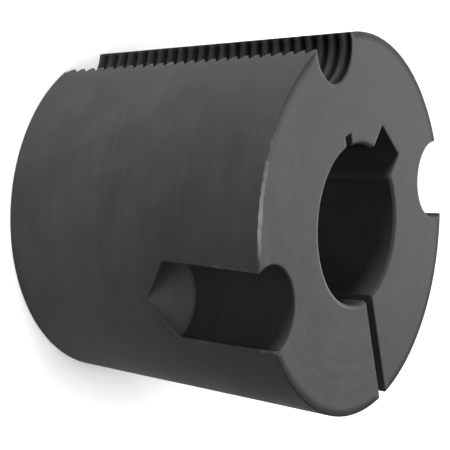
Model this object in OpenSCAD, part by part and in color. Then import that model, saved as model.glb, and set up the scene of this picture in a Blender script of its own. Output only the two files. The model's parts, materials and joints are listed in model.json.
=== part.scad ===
// Split taper bush for clamping a pulley or wheel hub on a shaft.
// Millimetres. The bore runs along Z, the small end rests on Z = 0 and the
// large end, with the mouths of the three half-holes, faces up.
// The keyway points along +Y.

/* [Taper body] */
// Diameter across the large end
large_d = 47.625; // [46.5:0.125:54]
// Length between the two end faces
bush_len = 38.1; // [26:0.1:50]
// Slope of the outside, measured from the bore axis, degrees
taper_deg = 4; // [2:0.25:6]
// Break on the outer edge of both ends
rim_break = 0.2; // [0.1:0.05:1]

/* [Bore and keyway] */
// Bore diameter
bore_d = 20; // [14:0.5:24]
// Break on both edges of the bore
bore_break = 0.3; // [0.1:0.1:1]
// Width of the keyway
key_w = 6; // [4:0.5:8]
// Height of the keyway above the crown of the bore
key_rise = 3.3; // [2:0.1:4]
// Break where the keyway walls meet the bore
key_flare = 0.4; // [0.1:0.1:0.8]
// Break in the two inner corners of the keyway
key_root = 0.2; // [0.1:0.05:0.4]

/* [Half-holes] */
// Diameter of the circle the screw centres stand on
screw_circle_d = 44.45; // [43.5:0.05:46]
// Diameter of the two plain half-holes
plain_d = 10.2; // [8:0.1:11]
// Depth of the plain half-holes down to the start of the drill point
plain_depth = 14; // [8:0.5:20]
// Full angle of the drill point, degrees
point_deg = 118; // [90:2:140]
// Break on the mouths of the plain half-holes
plain_break = 0.3; // [0.1:0.1:0.6]
// Direction of the threaded half-hole, degrees from X
thread_at = 146.1; // [140:0.1:152]
// Angle from the threaded half-hole to each plain one, degrees
plain_step = 94.8; // [90:0.2:98]

/* [Thread] */
// Thread diameter at the bottom of the grooves
thread_d = 9.525; // [9:0.025:10]
// Drilled diameter left between the grooves
drill_d = 7.9; // [7.7:0.05:8.2]
// Distance from one turn to the next
pitch = 1.5875; // [1.4:0.0125:2]
// Full angle between the flanks, degrees
flank_deg = 55; // [50:1:62]
// Direction in which a crest starts on the small end, degrees from X
crest_at = 344.4; // [0:0.4:360]
// Flat sides in one turn of the thread
turn_sides = 24; // [16:4:32]

/* [Split and relief] */
// Width of the split through the wall
split_w = 1.7; // [0.8:0.1:2.4]
// Direction of the split, degrees from X
split_at = 327.5; // [320:0.5:340]
// Width of the relief slot in the bore
relief_w = 1.5; // [0.8:0.1:2]
// Depth of the relief slot from the bore wall
relief_depth = 1.5; // [0.8:0.1:2]
// Direction of the relief slot, degrees from X
relief_at = 144; // [135:1:150]

/* [Finish] */
// Phosphated grey iron
iron_color = "#4c4d4f"; // ["#4c4d4f", "#3a3b3d", "#6a6b6d"]

/* [Hidden] */
$fn = 96;
body_sides = 180;
// how far a cutting body runs past the face that it opens
cut = 1;
large_r = large_d / 2;
small_r = large_r - bush_len * tan(taper_deg);
bore_r = bore_d / 2;
screw_r = screw_circle_d / 2;
plain_r = plain_d / 2;
plain_floor = bush_len - plain_depth;
point_len = plain_r / tan(point_deg / 2);
thread_r = thread_d / 2;
drill_r = drill_d / 2;
// the groove bottom is flat a sixth of the sharp thread height short of the apex
truncation = 1 / 6;
sharp_h = pitch / (2 * tan(flank_deg / 2));
apex_r = thread_r + truncation * sharp_h;
// the groove's body reaches this far into the drilled hole
groove_overlap = 0.2;
tool_r = drill_r - groove_overlap;
groove_out = (apex_r - thread_r) * tan(flank_deg / 2);
groove_in = (apex_r - tool_r) * tan(flank_deg / 2);
// turns that the groove's body has beyond each end face
spare_turns = 2;
turns = ceil(bush_len / pitch) + 2 * spare_turns;
// half a pitch above a crest stands the middle of a groove
thread_start = pitch * (0.5 - crest_at / 360 - spare_turns);

// Which piece is drawn, all of them or one by name

// Outside of the bush as a turned section, with both rims broken
module taper_body() {
    rotate_extrude($fn = body_sides)
        polygon([
            [0, 0],
            [small_r - rim_break, 0],
            [small_r + rim_break * tan(taper_deg), rim_break],
            [large_r - rim_break * tan(taper_deg), bush_len - rim_break],
            [large_r - rim_break, bush_len],
            [0, bush_len]
        ]);
}

// Shaft bore with both edges broken
module bore_cut() {
    translate([0, 0, -cut])
        cylinder(r = bore_r, h = bush_len + 2 * cut);
    translate([0, 0, -cut])
        cylinder(r1 = bore_r + bore_break + cut, r2 = bore_r, h = bore_break + cut);
    translate([0, 0, bush_len - bore_break])
        cylinder(r1 = bore_r, r2 = bore_r + bore_break + cut, h = bore_break + cut);
}

// Keyway, symmetrical about Y: broken corners at the bore and at the roof
module keyway_cut() {
    half = key_w / 2;
    wall_foot = sqrt(bore_r * bore_r - half * half);
    roof = bore_r + key_rise;
    side = [
        [half + key_flare, 0],
        [half + key_flare, wall_foot - key_flare / 2],
        [half, wall_foot + key_flare],
        [half, roof - key_root],
        [half - key_root, roof]
    ];
    other_side = [for (i = [len(side) - 1 : -1 : 0]) [-side[i].x, side[i].y]];
    translate([0, 0, -cut])
        linear_extrude(height = bush_len + 2 * cut)
            polygon(concat(side, other_side));
}

// Plain blind half-hole, drilled down from the large face
module plain_half_hole() {
    translate([screw_r, 0, plain_floor])
        cylinder(r = plain_r, h = plain_depth + cut);
    translate([screw_r, 0, plain_floor - point_len])
        cylinder(r1 = 0, r2 = plain_r, h = point_len);
    translate([screw_r, 0, bush_len - plain_break])
        cylinder(r1 = plain_r, r2 = plain_r + plain_break + cut, h = plain_break + cut);
}

// One right-handed helical groove, wound as a single body of four-sided section
module thread_groove() {
    steps = turns * turn_sides;
    points = [
        for (i = [0 : steps])
            let (turn = 360 * i / turn_sides, rise = thread_start + pitch * i / turn_sides)
            each [
                [tool_r * cos(turn), tool_r * sin(turn), rise - groove_in],
                [thread_r * cos(turn), thread_r * sin(turn), rise - groove_out],
                [thread_r * cos(turn), thread_r * sin(turn), rise + groove_out],
                [tool_r * cos(turn), tool_r * sin(turn), rise + groove_in]
            ]
    ];
    sides = [
        for (i = [0 : steps - 1], j = [0 : 3])
            let (a = 4 * i + j, b = 4 * i + (j + 1) % 4)
            each [[a, b, b + 4], [a, b + 4, a + 4]]
    ];
    first = [[3, 2, 1, 0]];
    last = [[4 * steps, 4 * steps + 1, 4 * steps + 2, 4 * steps + 3]];
    polyhedron(points = points, faces = concat(sides, first, last), convexity = 10);
}

// Threaded half-hole, open through the whole length
module threaded_half_hole() {
    rotate([0, 0, thread_at])
        translate([screw_r, 0, -cut])
            cylinder(r = drill_r, h = bush_len + 2 * cut);
    translate([screw_r * cos(thread_at), screw_r * sin(thread_at), 0])
        thread_groove();
}

// Slot along the whole length, from inside the bore out to a radius
module radial_slot(width, out_r, direction) {
    rotate([0, 0, direction])
        translate([bore_r / 2, -width / 2, -cut])
            cube([out_r - bore_r / 2, width, bush_len + 2 * cut]);
}

// Split that goes right through the wall, so that the bush can close on the shaft
module split_cut() {
    radial_slot(split_w, large_r + cut, split_at);
}

// Shallow slot in the bore wall, which lets the wall bend
module relief_cut() {
    radial_slot(relief_w, bore_r + relief_depth, relief_at);
}

// The whole bush, one casting turned, drilled, tapped, broached and sawn
module taper_bush() {
    color(iron_color)
        difference() {
            taper_body();
            bore_cut();
            keyway_cut();
            rotate([0, 0, thread_at - plain_step])
                plain_half_hole();
            rotate([0, 0, thread_at + plain_step])
                plain_half_hole();
            threaded_half_hole();
            split_cut();
            relief_cut();
        }
}

taper_bush();
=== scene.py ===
# %% [markdown]
# # A taper bush, dressed for its portrait
# The object is one casting: a split, tapered bush that clamps a wheel on a shaft.
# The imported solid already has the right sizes. Here its skin is made again as one
# fine surface, with eased edges and a true screw thread, and given the satin dark
# grey of phosphated iron.

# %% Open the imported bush
import json
import math

import bmesh
import bpy
import numpy as np
from mathutils import Matrix, Vector


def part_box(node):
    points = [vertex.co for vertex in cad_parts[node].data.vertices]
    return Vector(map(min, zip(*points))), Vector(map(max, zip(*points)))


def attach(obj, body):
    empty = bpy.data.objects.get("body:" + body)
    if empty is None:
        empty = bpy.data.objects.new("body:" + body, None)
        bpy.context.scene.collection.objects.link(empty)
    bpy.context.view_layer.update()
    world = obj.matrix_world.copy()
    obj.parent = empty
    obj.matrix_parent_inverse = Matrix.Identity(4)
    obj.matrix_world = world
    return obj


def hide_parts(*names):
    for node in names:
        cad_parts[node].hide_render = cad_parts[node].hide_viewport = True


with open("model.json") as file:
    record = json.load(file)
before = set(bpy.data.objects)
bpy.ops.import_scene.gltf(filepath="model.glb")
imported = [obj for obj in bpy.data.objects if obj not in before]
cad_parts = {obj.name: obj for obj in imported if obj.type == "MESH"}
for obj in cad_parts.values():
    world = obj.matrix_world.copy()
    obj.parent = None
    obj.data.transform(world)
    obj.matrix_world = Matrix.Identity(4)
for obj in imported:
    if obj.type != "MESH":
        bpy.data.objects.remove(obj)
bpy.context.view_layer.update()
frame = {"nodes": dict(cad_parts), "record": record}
mounts = {mount["name"]: mount for mount in frame["record"]["mounts"]}
print("nodes in the frame:", sorted(frame["nodes"]))

# %% [markdown]
# ## Sizes
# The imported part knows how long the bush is, how wide its bore is and where its three
# half-holes stand, so these are read from it. The rest are the bush's own sizes, in
# metres, as the solid has them. Directions are angles round the bore, seen from the
# large end.

# %% Sizes of the bush
MM = 0.001
FULL_TURN = 2 * math.pi

bush_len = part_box("taper_bush")[1].z
large_r = 23.8125 * MM
taper = math.radians(4)

bore_r = mounts["bore"]["dims"]["r_mm"] * MM
key_half = 3.0 * MM
key_roof = bore_r + 3.3 * MM
key_dir = math.radians(90)

relief_half = 0.75 * MM
relief_roof = bore_r + 1.5 * MM
relief_dir = math.radians(144)

split_half = 0.85 * MM
split_dir = math.radians(-32.5)


def direction_of(name):
    """Direction in which a mount stands: the arc tangent of its y over its x."""
    x, y, _ = mounts[name]["pos_m"]
    return math.atan2(y, x)


plain_r = mounts["plain_half_hole_right"]["dims"]["r_mm"] * MM
plain_depth = mounts["plain_half_hole_right"]["dims"]["length_mm"] * MM
plain_right_dir = direction_of("plain_half_hole_right")
plain_left_dir = direction_of("plain_half_hole_left") % FULL_TURN
point_half_angle = math.radians(59)

screw_r = math.hypot(*mounts["threaded_half_hole"]["pos_m"][:2])
thread_dir = direction_of("threaded_half_hole")
inward = thread_dir + math.pi
thread_r = mounts["threaded_half_hole"]["dims"]["r_mm"] * MM
drill_r = 3.95 * MM
pitch = 1.5875 * MM
flank = math.radians(27.5)
thread_phase = math.radians(344.4)

print(f"length {bush_len / MM:.2f} mm, screw circle {2 * screw_r / MM:.2f} mm")

# %% [markdown]
# ## How the edges are broken
# The rims are broken with a touch of a stone, so they are small quarter rounds. The
# bore has a proper chamfer at both ends, so that the shaft finds its way in. Each edge
# could be made with a Bevel modifier, but on a thread that cuts through a cone it
# leaves torn corners. Instead every row of the mesh near an end face is worked out
# with its outline drawn back by the size of the edge. Two more rows lie flat on each
# end, a little in from its edges, so that wear, the painted highlight, the darker rims
# and the painted shade can fade there.

# %% Broken edges
bore_edge = 0.30 * MM
rim_edge = 0.20 * MM
hole_edge = 0.16 * MM
slot_edge = 0.10 * MM
thread_edge = 0.08 * MM
edge_rows = 6
end_rings = (0.95 * MM, 0.35 * MM)

quarter = np.radians(np.linspace(90, 0, edge_rows))
on_face = len(end_rings)
foot_rows = np.concatenate([np.zeros(on_face), bore_edge * (1 - np.sin(quarter))])
head_rows = bush_len - foot_rows[::-1]
print("rows that make each end:", len(foot_rows))


def climb_into(z, size):
    """How far a row has climbed into an edge of that size: one less its distance from
    the nearer end face over the size, so none before the edge and one on the face."""
    return np.clip(1 - np.minimum(z, bush_len - z) / size, 0, 1)


def ring_in(z):
    """The outermost rows lie flat on the ends, each a ring's width from the edge."""
    ring = np.zeros((len(z), 1))
    for row, width in enumerate(end_rings):
        ring[[row, -1 - row]] = width
    return ring


def rounded(z, size):
    """How far a round edge is drawn back: size times one minus the cosine of the
    climb round it, and on the end faces a ring's width more."""
    return size * (1 - np.sqrt(1 - climb_into(z, size) ** 2)) + ring_in(z)


def chamfered(z, size):
    """How far a chamfer at 45 degrees is drawn back: size times the climb, and on
    the end faces a ring's width more."""
    return size * climb_into(z, size) + ring_in(z)


def wall_radius(z):
    """Radius of the cone at height z, less what its rim is rounded by."""
    return large_r - (bush_len - z) * math.tan(taper) - rounded(z, rim_edge)


# %% [markdown]
# ## The thread
# The tapped half-hole has a 55 degree thread with rounded roots and, because the
# hole was drilled before it was tapped, flat crests. A wave texture as bump would be
# quick, but the turns show on the outline of the bush, so they are real.
# The rows of the mesh follow the helix: along one row the groove is equally deep, so
# crests and roots stay crisp with only ten rows in a turn.

# %% Thread profile
root_round = 0.137 * pitch
crest_soft = 0.025 * MM

# the flanks would meet a sixth of the sharp profile's height beyond the thread
sharp_height = pitch / (2 * math.tan(flank))
apex_r = thread_r + sharp_height / 6


def groove_radius(z, angle):
    """Distance of the thread's surface from the screw's axis. The place in the turn
    is height over pitch less angle over a full turn; from the middle of the groove
    outwards come a round root, a straight flank and the drilled crest."""
    turn = z / pitch - (angle - thread_phase) / FULL_TURN
    off = np.abs(np.mod(turn, 1) - 0.5) * pitch
    root = thread_r - root_round + np.sqrt(np.maximum(root_round**2 - off**2, 0))
    side = apex_r - off / math.tan(flank)
    radius = np.where(off < root_round * math.cos(flank), root, side)
    return np.maximum(radius, drill_r)


crest_off = (apex_r - drill_r) * math.tan(flank)
stations = np.array([0, 0.5 * root_round, root_round * math.cos(flank),
                     crest_off - crest_soft, crest_off + crest_soft])
profile_rows = np.unique(np.concatenate([-stations, stations, [pitch / 2]])) / pitch
print("rows in one turn of the thread:", len(profile_rows))

# %% [markdown]
# ## Rows of the mesh
# Rows climb from the small end to the large end. The first and last few round the
# end edges over; the rest stand where the thread's profile needs them. They are
# lifted or lowered beside the thread to follow its slope, and held level elsewhere.
# Rows that the lift would push past an end are stacked there, two thousandths of a
# millimetre apart, so the grid keeps its squares and nothing has to be merged.

# %% Heights of the rows
spare = 0.3 * pitch
stacked = 0.002 * MM
first_turn = math.floor(-spare / pitch) - 1
last_turn = math.ceil((bush_len + spare) / pitch) + 1
row_shift = 0.5 + (inward - thread_phase) / FULL_TURN
turn_rows = (np.arange(first_turn, last_turn)[:, None] + profile_rows[None, :]).ravel()
turn_rows = np.sort((turn_rows + row_shift) * pitch)
turn_rows = turn_rows[(turn_rows > -spare) & (turn_rows < bush_len + spare)]

row_z = np.concatenate([foot_rows, turn_rows, head_rows])[:, None]
order = np.arange(len(row_z))[:, None]
above_foot = order - len(foot_rows)
below_head = len(row_z) - len(head_rows) - order
is_turn_row = (above_foot >= 0) & (below_head > 0)
lowest = bore_edge + stacked * (above_foot + 1)
highest = bush_len - bore_edge - stacked * below_head
print("rows in all:", len(row_z))


def settle(lift=0.0):
    """Height of each row once lifted: rows of the thread move, but not past the
    eased ends, where they stack; the rows of the eased ends stay."""
    return np.where(is_turn_row, np.clip(row_z + lift, lowest, highest), row_z)


def climb(angle):
    """Height that the thread climbs in that angle: its share of the pitch."""
    return pitch * angle / FULL_TURN


# %% [markdown]
# ## The outline, walked round once
# Because the bush is split, its section is one closed line: round the outside with
# its three half-holes, in through the split, back round the bore past the relief
# slot and the keyway, and out again. Points are complex numbers, so turning one
# round the bore is a single product. Each stretch is an array with a row for every
# height.

# %% Stretches of the outline
def polar(angle):
    """The point one unit out from the bore's axis at that angle."""
    return np.exp(1j * angle)


def angle_near(point, guess):
    """Angle of a point round the bore, brought to the turn that guess lies in."""
    return guess + np.angle(point * polar(-guess))


def between(count):
    """Even shares of the way along a stretch, its two ends left out."""
    return ((np.arange(count) + 1) / (count + 1))[None, :]


def crowded(count):
    """Shares that crowd a little towards both ends, where edges are worn: halfway
    from even shares to the heights of half a turn of a wheel."""
    even_share = between(count)
    return (even_share + (1 - np.cos(math.pi * even_share)) / 2) / 2


def cone_between(a, b, guess_a, guess_b, count, lift_a=0.0, lift_b=0.0):
    """Cone from one corner to another that may move with height: radius from height,
    angle from the share of the way, and the lift beside the thread fading smoothly,
    as three times the share squared less twice its cube."""
    start, end = angle_near(a, guess_a), angle_near(b, guess_b)
    share = crowded(count)
    fade = share**2 * (3 - 2 * share)
    z = settle(lift_a * (1 - fade) + lift_b * fade)
    return wall_radius(z) * polar(start + (end - start) * share), z


def bore_between(a, b, guess_a, guess_b, count):
    """Bore wall between two slots: one radius, more where it is chamfered."""
    start, end = angle_near(a, guess_a), angle_near(b, guess_b)
    z = settle(np.zeros((1, count)))
    radius = bore_r + chamfered(z, bore_edge)
    return radius * polar(start + (end - start) * crowded(count)), z


def flat_between(a, b, count):
    """Straight wall of a slot: one point plus a share of the way to the other."""
    return a + (b - a) * crowded(count), settle(np.zeros((1, count)))


# %% Corners of the outline
def slot_corner(radius, half, direction, side):
    """Where a slot's wall meets the circle of that radius: out by Pythagoras, and
    half the slot's width to the side."""
    out = np.sqrt(radius**2 - half**2)
    return (out + side * 1j * half) * polar(direction)


def roof_corner(radius, half, direction, side):
    """Inner corner of a slot: out by its roof's radius, half its width to the side."""
    return (radius + side * 1j * half) * polar(direction)


def both_sides(corner, *sizes):
    """That corner on the clockwise side of a slot and on the other."""
    return [corner(*sizes, side) for side in (-1, 1)]


# %% [markdown]
# ## The drilled half-holes
# The screws' halves are drilled with a 118 degree point, half in the bush and half
# in the hub, so each hole is a trough that ends in half a cone and runs out on the
# slope. In the last millimetre the trough's axis slides out to the slope, so that it
# ends shallow. Below it the same columns of the mesh lie flat on the cone, in a
# narrow strip that slowly widens, so no face is ever squeezed to nothing.

# %% Plain half-hole
plain_floor = bush_len - plain_depth
tip_z = plain_floor - plain_r / math.tan(point_half_angle)
hole_columns = 23
lip_gap = math.radians(4)
lip_round = 0.28 * MM
lip_share = 0.06

closing_from = 1.0 * MM
shallow = 0.6
strip_half = 0.25 * MM
strip_growth = 0.25
flat_share = 0.9


def drill_radius(z):
    """Radius of the drill at height z: full down to the floor of the hole, then less
    by the depth below the floor times the slope of the point."""
    below = np.maximum(plain_floor - z, 0)
    return np.maximum(plain_r - below * math.tan(point_half_angle), 0)


def plain_half_hole(direction):
    """Trough of the drill. Its circle crosses the cone at two lips: how far out comes
    from the law of cosines, how far aside from Pythagoras. As the point closes, the
    circle's centre slides towards the cone by the square of the share closed. Between
    the lips the columns stand at even angles round the circle; below the point they
    lie on the cone. Gives the lips, the columns, their heights and how far the lips
    are rounded."""
    z = settle()
    wall = wall_radius(z)
    radius = drill_radius(z) + rounded(z, hole_edge) * (z > plain_floor)
    strip = strip_half + strip_growth * np.maximum(tip_z - z, 0)
    is_cut = radius > strip
    radius = np.maximum(radius, strip_half)

    closing = np.clip((closing_from - radius) / (closing_from - strip_half), 0, 1) ** 2
    centre = screw_r + (wall + shallow * radius - screw_r) * closing
    lip_out = (wall**2 + centre**2 - radius**2) / (2 * centre)
    lip_half = np.where(is_cut, np.sqrt(np.maximum(wall**2 - lip_out**2, 0)), strip)
    spread = np.linspace(-1, 1, hole_columns)[None, :]
    widest = np.arccos(np.clip((centre - lip_out) / radius, -1, 1)) - lip_gap
    side = np.where(is_cut, radius * np.sin(widest * spread), flat_share * strip * spread)
    trough = centre - radius * np.cos(widest * spread)
    out = np.where(is_cut, trough, np.sqrt(wall**2 - side**2))
    lips = both_sides(slot_corner, wall, lip_half, direction)
    rounding = np.minimum(lip_round, lip_share * lip_half)
    height = np.broadcast_to(z, side.shape)
    return lips, (out + 1j * side) * polar(direction), height, rounding


right_lips, right_arc, right_z, right_round = plain_half_hole(plain_right_dir)
left_lips, left_arc, left_z, left_round = plain_half_hole(plain_left_dir)
print(f"drill points end {tip_z / MM:.2f} mm above the small end")

# %% [markdown]
# ## The tapped half-hole
# The groove runs round the screw's own axis, which lies just inside the rim. A lip is
# where the thread's circle crosses the cone; since both change with height, its place
# is found by going round the sum a few times until it settles.

# %% Threaded half-hole
thread_columns = 27
lip_rounds = 12
screw_centre = screw_r * polar(thread_dir)


def lip_angle(sign):
    """Half angle of the groove at one lip, from the law of cosines between the screw
    circle, the thread's radius and the cone, with the lip and its height."""
    half = np.full_like(row_z, math.pi / 2)
    for _ in range(lip_rounds):
        z = settle(climb(-sign * half))
        radius = groove_radius(z, inward - sign * half) + rounded(z, thread_edge)
        wall = wall_radius(z)
        cosine = (screw_r**2 + radius**2 - wall**2) / (2 * screw_r * radius)
        half = np.arccos(np.clip(cosine, -1, 1))
    return half, screw_centre + radius * polar(inward - sign * half), z


def threaded_half_hole():
    """Helical groove between its lips: each column stands at an angle round the
    screw's axis, and is lowered by that angle's share of the pitch."""
    first, first_lip, first_z = lip_angle(-1)
    last, last_lip, last_z = lip_angle(1)
    turn = -first + (first + last) * between(thread_columns)
    z = settle(climb(-turn))
    angle = inward - turn
    radius = groove_radius(z, angle) + rounded(z, thread_edge)
    columns = screw_centre + radius * polar(angle)
    lifts = (climb(first), climb(-last))
    return (first_lip, first_z), (last_lip, last_z), columns, z, lifts


lip_a, lip_b, groove, groove_z, lifts = threaded_half_hole()
print("columns in the groove of the thread:", groove.shape[1])

# %% [markdown]
# ## Joining the stretches
# Corners between stretches are rounded as a stoned edge is: a short parabola leaves
# one side and joins the other. The walk is written as a list, corner, stretch,
# corner, and one loop turns it into columns.

# %% Corners of the slots
level = settle()
wall_here = wall_radius(level)
bore_here = bore_r + chamfered(level, bore_edge)
slot_eased = rounded(level, slot_edge)
split_here = split_half + slot_eased
key_here = key_half + slot_eased
relief_here = relief_half + slot_eased

split_out = both_sides(slot_corner, wall_here, split_here, split_dir)
split_in = both_sides(slot_corner, bore_here, split_here, split_dir)
relief_in = both_sides(slot_corner, bore_here, relief_here, relief_dir)
relief_top = both_sides(roof_corner, relief_roof + slot_eased, relief_here, relief_dir)
key_in = both_sides(slot_corner, bore_here, key_here, key_dir)
key_top = both_sides(roof_corner, key_roof + slot_eased, key_here, key_dir)
for label, half in (("keyway", key_here), ("split", split_here), ("relief", relief_here)):
    print(f"{label} {2 * half.min() / MM:.2f} mm wide")

# %% Walk round the section
slot_round = 0.10 * MM
relief_round = 0.08 * MM
key_mouth_round = 0.40 * MM
key_roof_round = 0.22 * MM
thread_lip_round = 0.05 * MM
corner_points = 5

# columns in each stretch, in the order of the walk
cone_columns = (21, 19, 19, 22)
bore_columns = (34, 6, 18)
split_columns = 6
key_columns = 3
split_again = split_dir + FULL_TURN

walk = [
    ("edge", split_out[1], level, slot_round),
    ("turned", *cone_between(split_out[1], right_lips[0], split_dir, plain_right_dir,
                             cone_columns[0])),
    ("lip", right_lips[0], level, right_round),
    ("drilled", right_arc, right_z),
    ("lip", right_lips[1], level, right_round),
    ("turned", *cone_between(right_lips[1], lip_a[0], plain_right_dir, thread_dir,
                             cone_columns[1], lift_b=lifts[0])),
    ("edge", *lip_a, thread_lip_round),
    ("tapped", groove, groove_z),
    ("edge", *lip_b, thread_lip_round),
    ("turned", *cone_between(lip_b[0], left_lips[0], thread_dir, plain_left_dir,
                             cone_columns[2], lift_a=lifts[1])),
    ("lip", left_lips[0], level, left_round),
    ("drilled", left_arc, left_z),
    ("lip", left_lips[1], level, left_round),
    ("turned", *cone_between(left_lips[1], split_out[0], plain_left_dir, split_again,
                             cone_columns[3])),
    ("edge", split_out[0], level, slot_round),
    ("sawn", *flat_between(split_out[0], split_in[0], split_columns)),
    ("edge", split_in[0], level, slot_round),
    ("bored", *bore_between(split_in[0], relief_in[1], split_again, relief_dir,
                            bore_columns[0])),
    ("edge", relief_in[1], level, relief_round),
    ("root", relief_top[1], level, relief_round),
    ("root", relief_top[0], level, relief_round),
    ("edge", relief_in[0], level, relief_round),
    ("bored", *bore_between(relief_in[0], key_in[1], relief_dir, key_dir,
                            bore_columns[1])),
    ("edge", key_in[1], level, key_mouth_round),
    ("sawn", *flat_between(key_in[1], key_top[1], key_columns)),
    ("root", key_top[1], level, key_roof_round),
    ("sawn", *flat_between(key_top[1], key_top[0], key_columns)),
    ("root", key_top[0], level, key_roof_round),
    ("sawn", *flat_between(key_top[0], key_in[0], key_columns)),
    ("edge", key_in[0], level, key_mouth_round),
    ("bored", *bore_between(key_in[0], split_in[1], key_dir, split_dir,
                            bore_columns[2])),
    ("edge", split_in[1], level, slot_round),
    ("sawn", *flat_between(split_in[1], split_out[1], split_columns)),
]
print("stretches and corners in the walk:", len(walk))


# %% Columns of the mesh
def unit(step):
    """The same direction with length one: the step over its length."""
    return step / np.maximum(np.abs(step), 1e-12)


def column_block(index):
    """Columns of one entry of the walk. A corner becomes a parabola: the corner plus
    reach times share squared along one side and the rest squared along the other."""
    point, z = walk[index][1:3]
    if len(walk[index]) == 3:
        return point, z
    reach = walk[index][3]
    before = walk[index - 1][1][:, -1:]
    after = walk[(index + 1) % len(walk)][1][:, :1]
    share = np.linspace(0, 1, corner_points)[None, :]
    back, ahead = unit(before - point), unit(after - point)
    curve = point + reach * (back * (1 - share) ** 2 + ahead * share**2)
    return curve, np.broadcast_to(z, curve.shape)


blocks = [column_block(i) for i in range(len(walk))]
outline = np.concatenate([block[0] for block in blocks], axis=1)
heights = np.concatenate([block[1] for block in blocks], axis=1)
kinds = np.repeat([entry[0] for entry in walk], [block[0].shape[1] for block in blocks])
print("columns round the section:", outline.shape[1])

# %% [markdown]
# ## How far it is to the nearest edge
# Edges wear first, and the painted shade inside the drilled holes lies along their
# lips, so each point needs its distance from the nearest edge on the outside of the
# bush; the edges in the bore are sheltered. A shader could look for edges by itself,
# but it would find the thread's crests and miss the soft rims, and the mesh already
# knows which of its columns are edges. The distance is measured along the section,
# the shorter way round. The strip below a drill point is no edge.

# %% Distance from the edges
def of_kind(*names):
    """Whether a column belongs to one of those kinds."""
    return np.isin(kinds, names)[None, :]


strip_rows = drill_radius(level) < strip_half
outside = np.abs(outline) > key_roof
is_edge = of_kind("edge", "lip") & ~(strip_rows & of_kind("lip")) & outside

steps = np.abs(np.roll(outline, -1, axis=1) - outline)
along = np.cumsum(steps, axis=1) - steps
whole = along[:, -1:] + steps[:, -1:]
nearest = np.full(outline.shape, np.inf)
for column in np.flatnonzero(is_edge.any(axis=0)):
    apart = np.abs(along - along[:, column:column + 1])
    apart = np.minimum(apart, whole - apart)
    apart = np.where(is_edge[:, column:column + 1], apart, np.inf)
    nearest = np.minimum(nearest, apart)
print("columns on edges of the outside:", int(is_edge.any(axis=0).sum()))

# %% [markdown]
# ## Darker rims, painted highlight and painted shade
# Along its rims the bush is made a little darker. In two places that overlap a rim is
# made bright, which is a painted highlight. The thread's roots, a band just inside the
# drilled holes and one side of each drill point get painted shade, while lips that run
# lengthwise are a little rubbed. Painting all this by hand would take a picture; here
# each point of the mesh keeps two numbers, one for the wear with the painted highlight
# and one for the darker rims with the painted shade.

# %% Wear, painted highlight, darker rims and painted shade
wear_reach = 0.45 * MM
lengthwise_share = 0.22
rim_reach = end_rings[0]
rim_most = 0.80
hole_reach = 0.90 * MM

# direction, half width and strength of each painted highlight on a rim
highlight_at = ((math.radians(211), math.radians(15), 1.0),
           (math.radians(194), math.radians(14), 0.4))

# places across a drill point, from one lip to the other, and the painted shade there
point_places = (-1, -0.6, -0.1, 0.75, 1)
point_shade = (1, 0.9, 0, 0, 0.7)


def fading(distance, reach):
    """One on an edge, none at the reach, and between them the square of the rest."""
    return np.clip(1 - distance / reach, 0, 1) ** 2


# painted highlight: the rims are made bright round each direction listed above
rim_highlight = np.zeros(outline.shape)
for direction, half_width, strength in highlight_at:
    turned_away = np.angle(outline * polar(-direction)) / half_width
    rim_highlight = np.maximum(rim_highlight, strength * np.exp(-turned_away**2))
on_rim = np.minimum(climb_into(level, rim_edge), np.sqrt(1 - ring_in(level) / rim_reach))
on_rim = np.minimum(on_rim, rim_most) * of_kind("turned", "lip")
# wear along the lengthwise edges, together with the painted highlight on the rims
wear_and_highlight = np.maximum(rim_highlight * on_rim, lengthwise_share * fading(nearest, wear_reach))

# painted shade in the thread's roots, darkest where the groove is deepest
root_depth = (np.abs(outline - screw_centre) - drill_r) / (thread_r - drill_r)
root_shade = np.clip(root_depth, 0, 1) * of_kind("tapped")
# painted shade on one side of each drill point, and in a band along the lips inside the
# drilled holes
across_point = np.linspace(-1, 1, hole_columns)
point_side_shade = np.zeros(outline.shape[1])
point_side_shade[kinds == "drilled"] = np.tile(np.interp(across_point, point_places, point_shade), 2)
hole_shade = np.where(heights < plain_floor, point_side_shade, fading(nearest, hole_reach))
hole_shade = hole_shade * of_kind("drilled") * ~strip_rows
hollow_shade = np.maximum(root_shade, hole_shade) * (ring_in(level) == 0)
# the rims are made darker away from the painted highlight; the painted shade lies in the
# hollows
rim_dark_and_shade = np.maximum((1 - np.sqrt(rim_highlight)) * on_rim, hollow_shade)
wear_and_highlight[[0, -1]] = 0
rim_dark_and_shade[[0, -1]] = 0
print(f"most wear {wear_and_highlight.max():.2f}, most coat {rim_dark_and_shade.max():.2f}")

# %% [markdown]
# ## From rows and columns to a mesh
# Each square between two rows and two columns becomes a face, the last column joins
# the first, and the first and last rows are closed with one flat face each. No two
# points fall together, so the skin is closed without merging anything. Each face also
# gets the number of the finish that its cut left. A Weighted Normal modifier lets the
# large faces lead the shading, so that the narrow ones along the edges look round.

# %% Finish of each face
FINISHES = ("turned", "faced", "bored", "drilled", "sawn")
FACED = FINISHES.index("faced")
finish_of = {"edge": "turned", "lip": "turned", "tapped": "bored", "root": "sawn"}

finish_row = [FINISHES.index(finish_of.get(kind, kind)) for kind in kinds]
finish = np.tile(finish_row, (len(row_z) - 1, 1))
below_floor = heights[:-1] < plain_floor
finish[of_kind("drilled") & below_floor] = FINISHES.index("turned")
finish[:on_face] = FACED
finish[-on_face:] = FACED
print("faces of each finish:", dict(zip(FINISHES, np.bincount(finish.ravel()).tolist())))


# %% Build the skin
def add_object(name, data):
    """New object in the scene that holds a mesh, a camera or a lamp."""
    made = bpy.data.objects.new(name, data)
    bpy.context.scene.collection.objects.link(made)
    return made


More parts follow.
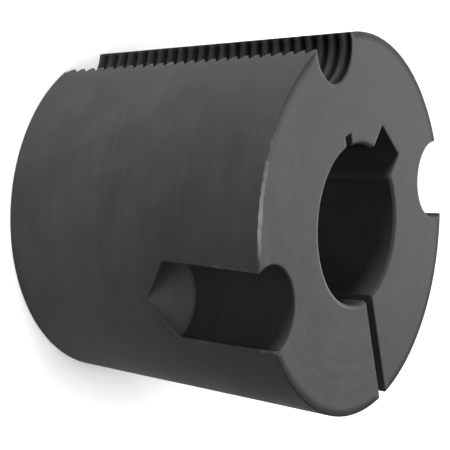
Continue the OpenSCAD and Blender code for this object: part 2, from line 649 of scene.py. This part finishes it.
def closed_skin(name, outline, heights, finish, masks):
    """Grid of squares between neighbouring rows and columns, closed by an end face
    at the bottom, walked backwards, and one at the top. Each mask is kept on the
    points under its name."""
    points = np.stack([outline.real, outline.imag, heights], axis=-1).reshape(-1, 3)
    index = np.arange(outline.size).reshape(outline.shape)
    beside = np.roll(index, -1, axis=1)
    squares = np.stack([index[:-1], beside[:-1], beside[1:], index[1:]], axis=-1)
    ends = [index[0, ::-1].tolist(), index[-1].tolist()]

    mesh = bpy.data.meshes.new(name)
    mesh.from_pydata(points.tolist(), [], squares.reshape(-1, 4).tolist() + ends)
    smooth = np.ones(len(mesh.polygons), bool)
    smooth[-len(ends):] = False
    mesh.polygons.foreach_set("use_smooth", smooth)
    mesh.polygons.foreach_set("material_index", np.append(finish, [FACED] * len(ends)))
    for label, mask in masks.items():
        kept = mesh.attributes.new(label, "FLOAT", "POINT")
        kept.data.foreach_set("value", mask.ravel())

    sheet = bmesh.new()
    sheet.from_mesh(mesh)
    open_edges = sum(1 for edge in sheet.edges if len(edge.link_faces) != 2)
    print(name, "faces", len(sheet.faces), "open edges", open_edges,
          "volume cm3", round(sheet.calc_volume(signed=True) * 1e6, 3))
    sheet.free()
    return add_object(name, mesh)


bush = closed_skin("bush_skin", outline, heights, finish, {"wear_and_highlight": wear_and_highlight, "rim_dark_and_shade": rim_dark_and_shade})
even = bush.modifiers.new("even_normals", "WEIGHTED_NORMAL")
even.keep_sharp = True
even.weight = 60

# %% [markdown]
# ## The finish: phosphated cast iron
# A bush is turned, faced, bored, drilled and sawn, then dipped in hot phosphate, which
# grows a thin dark grey skin of fine crystals. Under it the tool's marks still show.
# So each finish is built from the same three effects, each a shader node group made
# once: the marks of the tool, the patchy crystal skin, and the edges where it has
# been rubbed thin, which also carry a painted highlight. A picture texture could not
# follow every turned face so closely.

# %% Helpers to place nodes
def feed_in(tree, node, feeds):
    """Set inputs of a node by name or number, each to a plain value or to the output
    that drives it."""
    for key, value in feeds.items():
        if isinstance(value, bpy.types.NodeSocket):
            tree.links.new(value, node.inputs[key])
        else:
            node.inputs[key].default_value = value
    return node


def place(tree, kind, feeds=None, **settings):
    """New node: settings are its own options, feeds its inputs."""
    node = tree.nodes.new(kind)
    for option, value in settings.items():
        setattr(node, option, value)
    return feed_in(tree, node, feeds or {})


def group_of(name, inputs, outputs):
    """New shader node group with named sockets; each is a pair of name and kind, and
    an input also has its usual value."""
    tree = bpy.data.node_groups.new(name, "ShaderNodeTree")
    for label, kind, usual in inputs:
        made = tree.interface.new_socket(name=label, in_out="INPUT", socket_type=kind)
        if usual is not None:
            made.default_value = usual
    for label, kind in outputs:
        tree.interface.new_socket(name=label, in_out="OUTPUT", socket_type=kind)
    return tree, tree.nodes.new("NodeGroupInput"), tree.nodes.new("NodeGroupOutput")


# %% Helpers to calculate with nodes
def calc(tree, operation, *operands):
    """Output of a Math node."""
    feeds = dict(enumerate(operands))
    return place(tree, "ShaderNodeMath", feeds, operation=operation).outputs[0]


def plus_share(tree, base, value, share):
    """Base plus value times share."""
    return calc(tree, "MULTIPLY_ADD", value, share, base)


def vector_node(tree, operation, *operands, **by_name):
    """Vector Math node."""
    feeds = {**dict(enumerate(operands)), **by_name}
    return place(tree, "ShaderNodeVectorMath", feeds, operation=operation)


def mix(tree, kind, factor, first, second):
    """Output of a Mix node. It has one pair of inputs for numbers, one for vectors
    and one for colours, in that order, after its two factors."""
    number = ("FLOAT", "VECTOR", "RGBA").index(kind)
    feeds = {0: factor, 2 + 2 * number: first, 3 + 2 * number: second}
    return place(tree, "ShaderNodeMix", feeds, data_type=kind).outputs[number]


def noise(tree, where, scale, detail=2.0, roughness=0.5):
    """Value of a Noise Texture, about 0.5 on average."""
    feeds = {"Vector": where, "Scale": scale, "Detail": detail, "Roughness": roughness}
    return place(tree, "ShaderNodeTexNoise", feeds).outputs["Fac"]


def ramp(tree, value, low, high, out_low=0.0, out_high=1.0):
    """Smooth climb from out_low to out_high while value goes from low to high."""
    feeds = {"Value": value, "From Min": low, "From Max": high,
             "To Min": out_low, "To Max": out_high}
    node = place(tree, "ShaderNodeMapRange", feeds, interpolation_type="SMOOTHSTEP")
    return node.outputs["Result"]


# %% [markdown]
# ## Marks of the tool
# A turning tool leaves a fine screw of grooves, so marks on the cone and in the bore
# run round the axis and repeat with height, and on the faced ends they repeat with
# the distance from the axis. A sawn or broached slot has its marks along the cut.
# One noise does all of them: it is read in a place stretched along the marks.

# %% Group: tool marks
round_axis = 1.6
per_metre_along = 90.0
coarse_scale = 0.45
coarse_share = 0.45
fine_scale = 1.0
fine_share = 0.55

marks_group, given, result = group_of(
    "tool_marks",
    [("Place", "NodeSocketVector", None), ("Faced", "NodeSocketFloat", 0.0),
     ("Sawn", "NodeSocketFloat", 0.0), ("Feed", "NodeSocketFloat", 0.2 * MM)],
    [("Marks", "NodeSocketFloat")],
)
at, feed = given.outputs["Place"], given.outputs["Feed"]
axes = place(marks_group, "ShaderNodeSeparateXYZ", {0: at}).outputs
flat = place(marks_group, "ShaderNodeCombineXYZ", {0: axes[0], 1: axes[1]}).outputs[0]
away = vector_node(marks_group, "LENGTH", flat).outputs["Value"]
around = vector_node(marks_group, "NORMALIZE", flat).outputs[0]
around = vector_node(marks_group, "SCALE", around, Scale=round_axis).outputs[0]
lift = mix(marks_group, "FLOAT", given.outputs["Faced"], axes[2], away)
lift = calc(marks_group, "DIVIDE", lift, feed)
lifted = place(marks_group, "ShaderNodeCombineXYZ", {2: lift}).outputs[0]
turned_at = vector_node(marks_group, "ADD", around, lifted).outputs[0]
per_feed = calc(marks_group, "DIVIDE", 1.0, feed)
across = place(marks_group, "ShaderNodeCombineXYZ",
               {0: per_feed, 1: per_feed, 2: per_metre_along}).outputs[0]
sawn_at = vector_node(marks_group, "MULTIPLY", at, across).outputs[0]
where = mix(marks_group, "VECTOR", given.outputs["Sawn"], turned_at, sawn_at)
coarse = noise(marks_group, where, coarse_scale, detail=1.0)
fine = noise(marks_group, where, fine_scale, roughness=0.6)
fine = calc(marks_group, "MULTIPLY", fine, fine_share)
both = plus_share(marks_group, fine, coarse, coarse_share)
feed_in(marks_group, result, {"Marks": both})
print("tool marks: nodes", len(marks_group.nodes))

# %% [markdown]
# ## The crystal skin
# Close up, phosphate is a frost of crystals; from arm's length it shows as faint
# patches, a little lighter or darker, where it grew thicker or where oil has dried.
# Cast iron also has small open pores. The group gives all three as plain values. Some
# cells of a Voronoi texture, chosen by their random colour, hold a pore each.

# %% Group: phosphate skin
patch_range = (0.30, 0.70)
cells_without = 0.55
largest_pore = 0.11
pore_rim = 0.05

skin_group, given, result = group_of(
    "phosphate_skin",
    [("Place", "NodeSocketVector", None), ("Patch Size", "NodeSocketFloat", 6.0 * MM),
     ("Crystal Size", "NodeSocketFloat", 0.12 * MM),
     ("Pore Size", "NodeSocketFloat", 0.9 * MM)],
    [("Patches", "NodeSocketFloat"), ("Crystals", "NodeSocketFloat"),
     ("Pores", "NodeSocketFloat")],
)
at = given.outputs["Place"]
per_patch, per_crystal, per_pore = (
    calc(skin_group, "DIVIDE", 1.0, given.outputs[label])
    for label in ("Patch Size", "Crystal Size", "Pore Size")
)
patches = noise(skin_group, at, per_patch, detail=4.0, roughness=0.62)
patches = ramp(skin_group, patches, *patch_range)
crystals = noise(skin_group, at, per_crystal, roughness=0.7)
cells = place(skin_group, "ShaderNodeTexVoronoi", {"Vector": at, "Scale": per_pore})
chance = place(skin_group, "ShaderNodeSeparateColor", {0: cells.outputs["Color"]})
size = ramp(skin_group, chance.outputs[0], cells_without, 1.0, 0.0, largest_pore)
pores = calc(skin_group, "SUBTRACT", size, cells.outputs["Distance"])
pores = ramp(skin_group, pores, 0.0, pore_rim)
feed_in(skin_group, result, {"Patches": patches, "Crystals": crystals, "Pores": pores})
print("phosphate skin: nodes", len(skin_group.nodes))

# %% [markdown]
# ## Rubbed edges and painted highlight
# The mesh carries how worn each point is, and where a rim carries the painted
# highlight. A painted picture could carry it too, but it would have to be painted
# again for every change of shape. The group breaks the even band up with the patches
# and a noise of its own, so that the rub and the highlight come and go.

# %% Group: rubbed edges and painted highlight
spots_per_metre = 900.0
spot_share = 0.7
patch_share = 0.3
rub_range = (0.35, 1.15)
whole_from = 0.2

rub_and_highlight_group, given, result = group_of(
    "rubbed_edges_and_highlight",
    [("Place", "NodeSocketVector", None), ("Nearness", "NodeSocketFloat", 0.0),
     ("Patches", "NodeSocketFloat", 0.5)],
    [("Rub And Highlight", "NodeSocketFloat")],
)
nearness = given.outputs["Nearness"]
spots = noise(rub_and_highlight_group, given.outputs["Place"], spots_per_metre, detail=3.0, roughness=0.6)
spots = plus_share(rub_and_highlight_group, -spot_share / 2, spots, spot_share)
uneven = plus_share(rub_and_highlight_group, spots, given.outputs["Patches"], patch_share)
# the rub also carries the painted highlight kept on the mesh
rub_and_highlight = ramp(rub_and_highlight_group, calc(rub_and_highlight_group, "ADD", nearness, uneven), *rub_range)
rub_and_highlight = calc(rub_and_highlight_group, "MULTIPLY", rub_and_highlight, ramp(rub_and_highlight_group, nearness, 0.0, whole_from))
feed_in(rub_and_highlight_group, result, {"Rub And Highlight": rub_and_highlight})
print("rubbed edges: nodes", len(rub_and_highlight_group.nodes))

# %% [markdown]
# ## Five finishes from three groups
# Each cut is painted lighter or darker for the light it gets: painted light makes the
# faced ends lightest, and the cone and the drill point a shade darker. The bore and the
# thread get more painted shade and finer marks, the drilled walls most shade and the
# roughest skin, and the slots keep long marks and are painted darker too. The values
# of colour are linear: three parts in a hundred is the dark grey of the coating.

# %% Materials of the bush
COATING = 0.0232
DRIED = 0.0328
# grey of the darker rims and of the painted shade
DARK_RIM_AND_SHADE = 0.0115
# grey of bare iron on rubbed edges, also used for the painted highlight
BARE_AND_HIGHLIGHT = 0.125
PORE = 0.008

marks_in_tone = 1.2
patches_in_tone = 0.6
tone_base = -0.35
patch_rough = 0.10
crystal_rough = 0.08
rub_rough = -0.16
rub_metal = 0.3
crystal_depth = 0.5
pore_depth = -1.5
bump_height = 0.010 * MM
glint = 0.02


def grey(value):
    """Neutral colour of that lightness."""
    return (value, value, value, 1)


def phosphated(name, light, feed, mark_depth, faced=0.0, sawn=0.0, satin=0.52):
    """Principled material of one cut. Marks and patches mix the colour of the coating;
    the darker rims with the painted shade, the rubbed edges with the painted highlight,
    and the pores lie over it. Patches, crystals and rubbed edges change the roughness
    about satin. One bump adds up marks, crystals and pores. Light is painted light and
    shade: how much lighter or darker the coating is made on that cut, one on average."""
    made = bpy.data.materials.new(name)
    made.use_nodes = True
    tree = made.node_tree
    here = place(tree, "ShaderNodeTexCoord").outputs["Object"]
    # wear with the painted highlight, and darker rims with the painted shade, as kept on
    # the mesh
    edge, dark_and_shaded = (
        place(tree, "ShaderNodeAttribute", attribute_name=label).outputs["Fac"]
        for label in ("wear_and_highlight", "rim_dark_and_shade")
    )
    marks = place(tree, "ShaderNodeGroup",
                  {"Place": here, "Faced": faced, "Sawn": sawn, "Feed": feed},
                  node_tree=marks_group).outputs["Marks"]
    skin = place(tree, "ShaderNodeGroup", {"Place": here}, node_tree=skin_group)
    patches, crystals, pores = (
        skin.outputs[label] for label in ("Patches", "Crystals", "Pores")
    )
    rub_and_highlight = place(tree, "ShaderNodeGroup",
                {"Place": here, "Nearness": edge, "Patches": patches},
                node_tree=rub_and_highlight_group).outputs["Rub And Highlight"]

    tone = plus_share(tree, tone_base, patches, patches_in_tone)
    tone = plus_share(tree, tone, marks, marks_in_tone)
    # light scales the coating: painted light and shade that makes this cut lighter or
    # darker
    colour = mix(tree, "RGBA", tone, grey(COATING * light), grey(DRIED * light))
    # darker rims and painted shade
    colour = mix(tree, "RGBA", dark_and_shaded, colour, grey(DARK_RIM_AND_SHADE * min(light, 1)))
    # rubbed edges and the painted highlight
    colour = mix(tree, "RGBA", rub_and_highlight, colour, grey(BARE_AND_HIGHLIGHT))
    colour = mix(tree, "RGBA", pores, colour, grey(PORE))

    rough = plus_share(tree, satin - patch_rough / 2, patches, patch_rough)
    rough = plus_share(tree, rough, crystals, crystal_rough)
    rough = plus_share(tree, rough, rub_and_highlight, rub_rough)
    metal = calc(tree, "MULTIPLY", rub_and_highlight, rub_metal)

    height = calc(tree, "MULTIPLY", marks, mark_depth)
    height = plus_share(tree, height, crystals, crystal_depth)
    height = plus_share(tree, height, pores, pore_depth)
    bump = place(tree, "ShaderNodeBump",
                 {"Height": height, "Strength": 1.0, "Distance": bump_height})
    feed_in(tree, tree.nodes["Principled BSDF"], {
        "Base Color": colour, "Roughness": rough, "Metallic": metal,
        "Normal": bump.outputs["Normal"], "Specular IOR Level": glint})
    return made


# light is painted light and shade: lighter on the faced ends, darker in the bore, the slots
# and the drilled walls
cuts = {
    "turned": dict(light=0.95, feed=0.22 * MM, mark_depth=0.5),
    "faced": dict(light=1.55, feed=0.25 * MM, mark_depth=0.45, faced=1.0),
    "bored": dict(light=0.75, feed=0.16 * MM, mark_depth=0.4),
    "drilled": dict(light=0.58, feed=0.30 * MM, mark_depth=1.0, satin=0.56),
    "sawn": dict(light=0.8, feed=0.24 * MM, mark_depth=0.9, sawn=1.0, satin=0.55),
}
for cut in FINISHES:
    bush.data.materials.append(phosphated(f"phosphated_{cut}", **cuts[cut]))
print("finishes:", [material.name for material in bush.data.materials])

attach(bush, "root")
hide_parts("taper_bush")

# %% [markdown]
# ## The camera
# In the photo a long lens looks down on the large end from the left, and the picture
# leans by a few degrees. Place, aim, lean and lens were found by matching the two
# rims, the edge of the bore and the walls of the keyway with the photo. Turning the
# bush instead would leave it off the axes that its record uses.

# %% Camera
view_from = Vector((-147.10, -97.24, 130.66)) * MM
look_at = Vector((0.85, -0.76, 18.40)) * MM
roll_from_upright = math.radians(-3.75)

camera_data = bpy.data.cameras.new("camera")
camera_data.lens = 128.30
camera_data.sensor_width = 36
camera_data.clip_start = 0.01
camera = add_object("camera", camera_data)
ahead = (look_at - view_from).normalized()
right = (Vector((0, 0, 1)) - ahead * ahead.z).normalized()
down = ahead.cross(right)
right, down = (
    right * math.cos(roll_from_upright) + down * math.sin(roll_from_upright),
    down * math.cos(roll_from_upright) - right * math.sin(roll_from_upright),
)
facing = Matrix((right, -down, -ahead)).transposed().to_4x4()
camera.matrix_world = Matrix.Translation(view_from) @ facing
bpy.context.scene.camera = camera
print(f"camera {(look_at - view_from).length:.3f} m away, lens {camera_data.lens:.1f} mm")

# %% [markdown]
# ## Floor and light
# The bush stands on a large sheet of pale paper. A round lamp hangs over it and another
# leans in from the front. The photo's end face is lighter than the cone though it
# leans away from the camera, so most of the light has to come from behind: two wide
# lamps stand on the floor to the left, and a large one far off is like a window. A
# low strip with a narrow cone of light brings out the foot of the bush. A sky picture
# would put streaks into the satin skin, so the world is nearly black. Only the camera
# sees it white, as the backdrop of the photo is.

# %% Floor
half_sheet = 1.5
paper_light = 0.75
turns = ((-1, -1), (1, -1), (1, 1), (-1, 1))
corners = [(half_sheet * x, half_sheet * y, 0) for x, y in turns]

paper = bpy.data.materials.new("pale_paper")
paper.use_nodes = True
feed_in(paper.node_tree, paper.node_tree.nodes["Principled BSDF"], {
    "Base Color": grey(paper_light), "Roughness": 0.9, "Specular IOR Level": 0.0})
floor_mesh = bpy.data.meshes.new("floor")
floor_mesh.from_pydata(corners, [], [(0, 1, 2, 3)])
floor_mesh.materials.append(paper)
floor = add_object("floor", floor_mesh)
print(f"sheet of paper {2 * half_sheet:.1f} m wide")

# %% World
room_strength = 0.03
bpy.context.scene.view_settings.view_transform = "Standard"
world = bpy.data.worlds.new("studio")
world.use_nodes = True
room = world.node_tree
dark = feed_in(room, room.nodes["Background"], {"Strength": room_strength})
white = place(room, "ShaderNodeBackground", {"Color": grey(1), "Strength": 1.0})
for_camera = place(room, "ShaderNodeLightPath").outputs["Is Camera Ray"]
seen = place(room, "ShaderNodeMixShader",
             {0: for_camera, 1: dark.outputs[0], 2: white.outputs[0]})
feed_in(room, room.nodes["World Output"], {"Surface": seen.outputs[0]})
bpy.context.scene.world = world
print("world:", world.name)


# %% Lamps
def softbox(name, stand, aim, power, shape, size, spread=180):
    """Area lamp of that shape and size, turned from its stand towards the aim; its
    light leaves within a cone of that many degrees."""
    lamp = bpy.data.lights.new(name, "AREA")
    lamp.shape = shape
    lamp.size, lamp.size_y = size
    lamp.energy = power
    lamp.spread = math.radians(spread)
    holder = add_object(name, lamp)
    holder.location = stand
    towards = Vector(aim) - Vector(stand)
    holder.rotation_euler = towards.to_track_quat("-Z", "Y").to_euler()


def out_at(azimuth, distance, height):
    """Place in that direction and at that distance from the bush, and that high."""
    spot = distance * polar(math.radians(azimuth))
    return spot.real, spot.imag, height


disk = dict(shape="DISK", size=(0.40, 0.40))
wide = dict(shape="RECTANGLE", size=(0.35, 0.15))
softbox("overhead", (0, 0, 0.62), aim=(0, 0, 0), power=3.3, **disk)
softbox("in_front", out_at(214, 0.205, 0.584), aim=(0, 0, 0.02), power=3.9, **disk)
softbox("left", out_at(145, 0.70, 0.085), aim=(0, 0, 0.085), power=8.1, **wide)
softbox("far_left", out_at(120, 0.70, 0.085), aim=(0, 0, 0.085), power=4.9, **wide)
softbox("window", out_at(45, 2.80, 0.34), aim=(0, 0, 0.34), power=85.0,
        shape="RECTANGLE", size=(1.4, 0.6))
softbox("low_strip", out_at(235, 0.26, 0.010), aim=(0, 0, 0.004), power=0.007,
        shape="RECTANGLE", size=(0.12, 0.012), spread=12)
print("lamps:", [lamp.name for lamp in bpy.data.lights])
